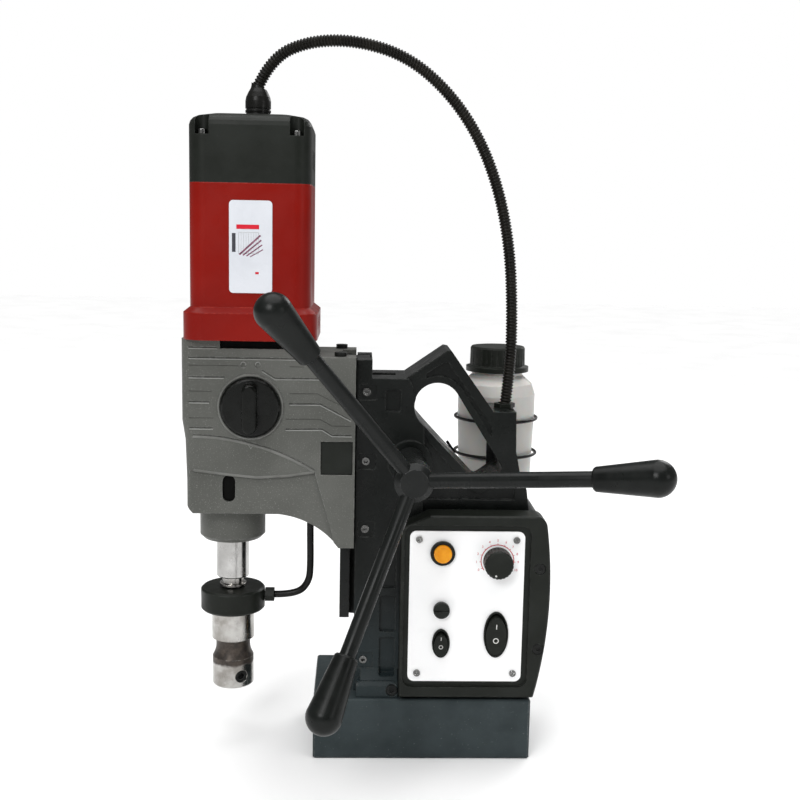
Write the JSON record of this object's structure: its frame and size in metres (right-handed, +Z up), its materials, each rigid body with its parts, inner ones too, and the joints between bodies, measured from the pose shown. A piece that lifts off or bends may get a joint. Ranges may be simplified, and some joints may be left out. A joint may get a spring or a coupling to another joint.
{
  "type": "magnetic drill press",
  "caption": "Magnetic-base drill press: motor and gear head on a dovetail slide, rack feed by a spoked handle, control box, coolant bottle and arbor with a plain shank bore.",
  "frame": {"origin": "centre of the magnet's bottom face, which lies on the work", "axes": "+Z up along the spindle, +X from the motor towards the control box, -Y towards the operator"},
  "size_m": [0.3372, 0.2835, 0.5492],
  "materials": {
    "black_casting": "black powder coat, lightly textured",
    "magnet_steel": "dark blue-grey enamel over steel",
    "coil_copper": "enamelled copper winding",
    "potting": "cast resin",
    "zinc_steel": "bright zinc",
    "black_steel": "black oxide",
    "machined_steel": "ground and lightly oiled",
    "bronze": "turned bronze",
    "black_plastic": "fine moulded texture",
    "panel_white": "white printed sheet",
    "amber_lens": "glossy translucent amber",
    "board_green": "solder resist",
    "bottle_plastic": "translucent polyethylene",
    "wire_black": "black coated wire",
    "conduit_black": "corrugated nylon",
    "hose_black": "smooth hose",
    "grey_housing": "fine grey paint over die casting",
    "red_housing": "satin red moulding",
    "label_white": "glossy foil",
    "grip_black": "polished phenolic",
    "lamination": "stacked laminations"
  },
  "bodies": {
    "frame": {"magnet_body": "magnet_steel", "magnet_coils": "coil_copper", "magnet_potting": "potting", "magnet_bolts": "black_steel", "frame_casting": "black_casting", "gib_strip": "bronze", "gib_screws": "zinc_steel", "pinion_bushes": "bronze", "conduit_gland": "black_plastic", "control_housing": "black_plastic", "housing_screws": "black_steel", "panel_plate": "panel_white", "panel_screws": "zinc_steel", "button_bezel": "black_plastic", "speed_pot": "zinc_steel", "fuse_holder": "black_plastic", "motor_rocker_frame": "black_plastic", "magnet_rocker_frame": "black_plastic", "circuit_board": "board_green", "bottle_holder": "wire_black", "bracket_screws": "zinc_steel", "motor_conduit": "conduit_black"},
    "feed_handle": {"pinion_shaft": "machined_steel", "handle_hub": "black_steel", "handle_rod_1": "black_steel", "handle_rod_2": "black_steel", "handle_rod_3": "black_steel", "handle_grip_1": "grip_black", "handle_grip_2": "grip_black", "handle_grip_3": "grip_black"},
    "carriage": {"slide_plate": "black_steel", "rack": "machined_steel", "gear_housing": "grey_housing", "housing_insert": "black_plastic", "housing_bolts": "zinc_steel", "motor_housing": "red_housing", "motor_end_cap": "black_plastic", "end_cap_screws": "zinc_steel", "strain_relief": "hose_black", "label_plate": "label_white", "stator": "lamination", "brush_holders": "bronze", "ball_bearings": "machined_steel", "coolant_ring": "black_plastic", "coolant_nipple": "black_plastic", "coolant_hose": "hose_black"},
    "spindle": {"spindle": "machined_steel", "arbor": "machined_steel", "arbor_screws": "black_steel"},
    "armature": {"armature": "lamination", "cooling_fan": "black_plastic"},
    "layshaft": {"layshaft": "machined_steel"},
    "selector": {"selector_knob": "black_plastic"},
    "reverse_button": {"reverse_button": "amber_lens"},
    "speed_knob": {"speed_knob": "black_plastic"},
    "fuse_cap": {"fuse_cap": "black_plastic"},
    "motor_rocker": {"motor_rocker": "black_plastic"},
    "magnet_rocker": {"magnet_rocker": "black_plastic"},
    "bottle": {"bottle": "bottle_plastic"},
    "bottle_cap": {"bottle_cap": "black_plastic"}
  },
  "joints": [
    {"name": "carriage_feed", "type": "slide", "parent": "frame", "child": "carriage", "axis": [0, 0, 1], "range_m": [-0.05, 0.105], "deforming": ["motor_conduit"]},
    {"name": "feed_handle_turn", "type": "hinge", "parent": "frame", "child": "feed_handle", "pos_m": [-0.0125, 0, 0.2306], "axis": [0, 1, 0], "range_deg": [-212.3, 445.8]},
    {"name": "spindle_spin", "type": "hinge", "parent": "carriage", "child": "spindle", "pos_m": [-0.15, 0, 0.15], "axis": [0, 0, 1], "continuous": true},
    {"name": "armature_spin", "type": "hinge", "parent": "carriage", "child": "armature", "pos_m": [-0.133, 0, 0.38], "axis": [0, 0, 1], "continuous": true},
    {"name": "layshaft_spin", "type": "hinge", "parent": "carriage", "child": "layshaft", "pos_m": [-0.11762, 0.01573, 0.26], "axis": [0, 0, 1], "continuous": true},
    {"name": "gear_selector_turn", "type": "hinge", "parent": "carriage", "child": "selector", "pos_m": [-0.1324, -0.045, 0.273], "axis": [0, 1, 0], "range_deg": [0, 180]},
    {"name": "reverse_button_press", "type": "slide", "parent": "frame", "child": "reverse_button", "axis": [0, 1, 0], "range_m": [0, 0.003], "stiffness_N_per_m": 400},
    {"name": "speed_knob_turn", "type": "hinge", "parent": "frame", "child": "speed_knob", "pos_m": [0.0544, -0.055, 0.1594], "axis": [0, 1, 0], "range_deg": [0, 288]},
    {"name": "fuse_cap_turn", "type": "hinge", "parent": "frame", "child": "fuse_cap", "pos_m": [0.0128, -0.05, 0.1211], "axis": [0, 1, 0], "range_deg": [-90, 0]},
    {"name": "motor_switch_rock", "type": "hinge", "parent": "frame", "child": "motor_rocker", "pos_m": [0.013, -0.046, 0.0945], "axis": [1, 0, 0], "range_deg": [-16, 0]},
    {"name": "magnet_switch_rock", "type": "hinge", "parent": "frame", "child": "magnet_rocker", "pos_m": [0.0549, -0.046, 0.1016], "axis": [1, 0, 0], "range_deg": [-16, 0]},
    {"name": "bottle_lift", "type": "slide", "parent": "frame", "child": "bottle", "axis": [0, 0, 1], "range_m": [0, 0.12]},
    {"name": "bottle_cap_unscrew", "type": "hinge", "parent": "bottle", "child": "bottle_cap", "pos_m": [0.0635, 0.064, 0.3], "axis": [0, 0, 1], "range_deg": [0, 540]}
  ],
  "couplings": [
    {"joint": "feed_handle_turn", "follows": "carriage_feed", "rad_per_m": 74.074},
    {"joint": "layshaft_spin", "follows": "spindle_spin", "ratio": -2},
    {"joint": "armature_spin", "follows": "spindle_spin", "ratio": 5.3333}
  ]
}
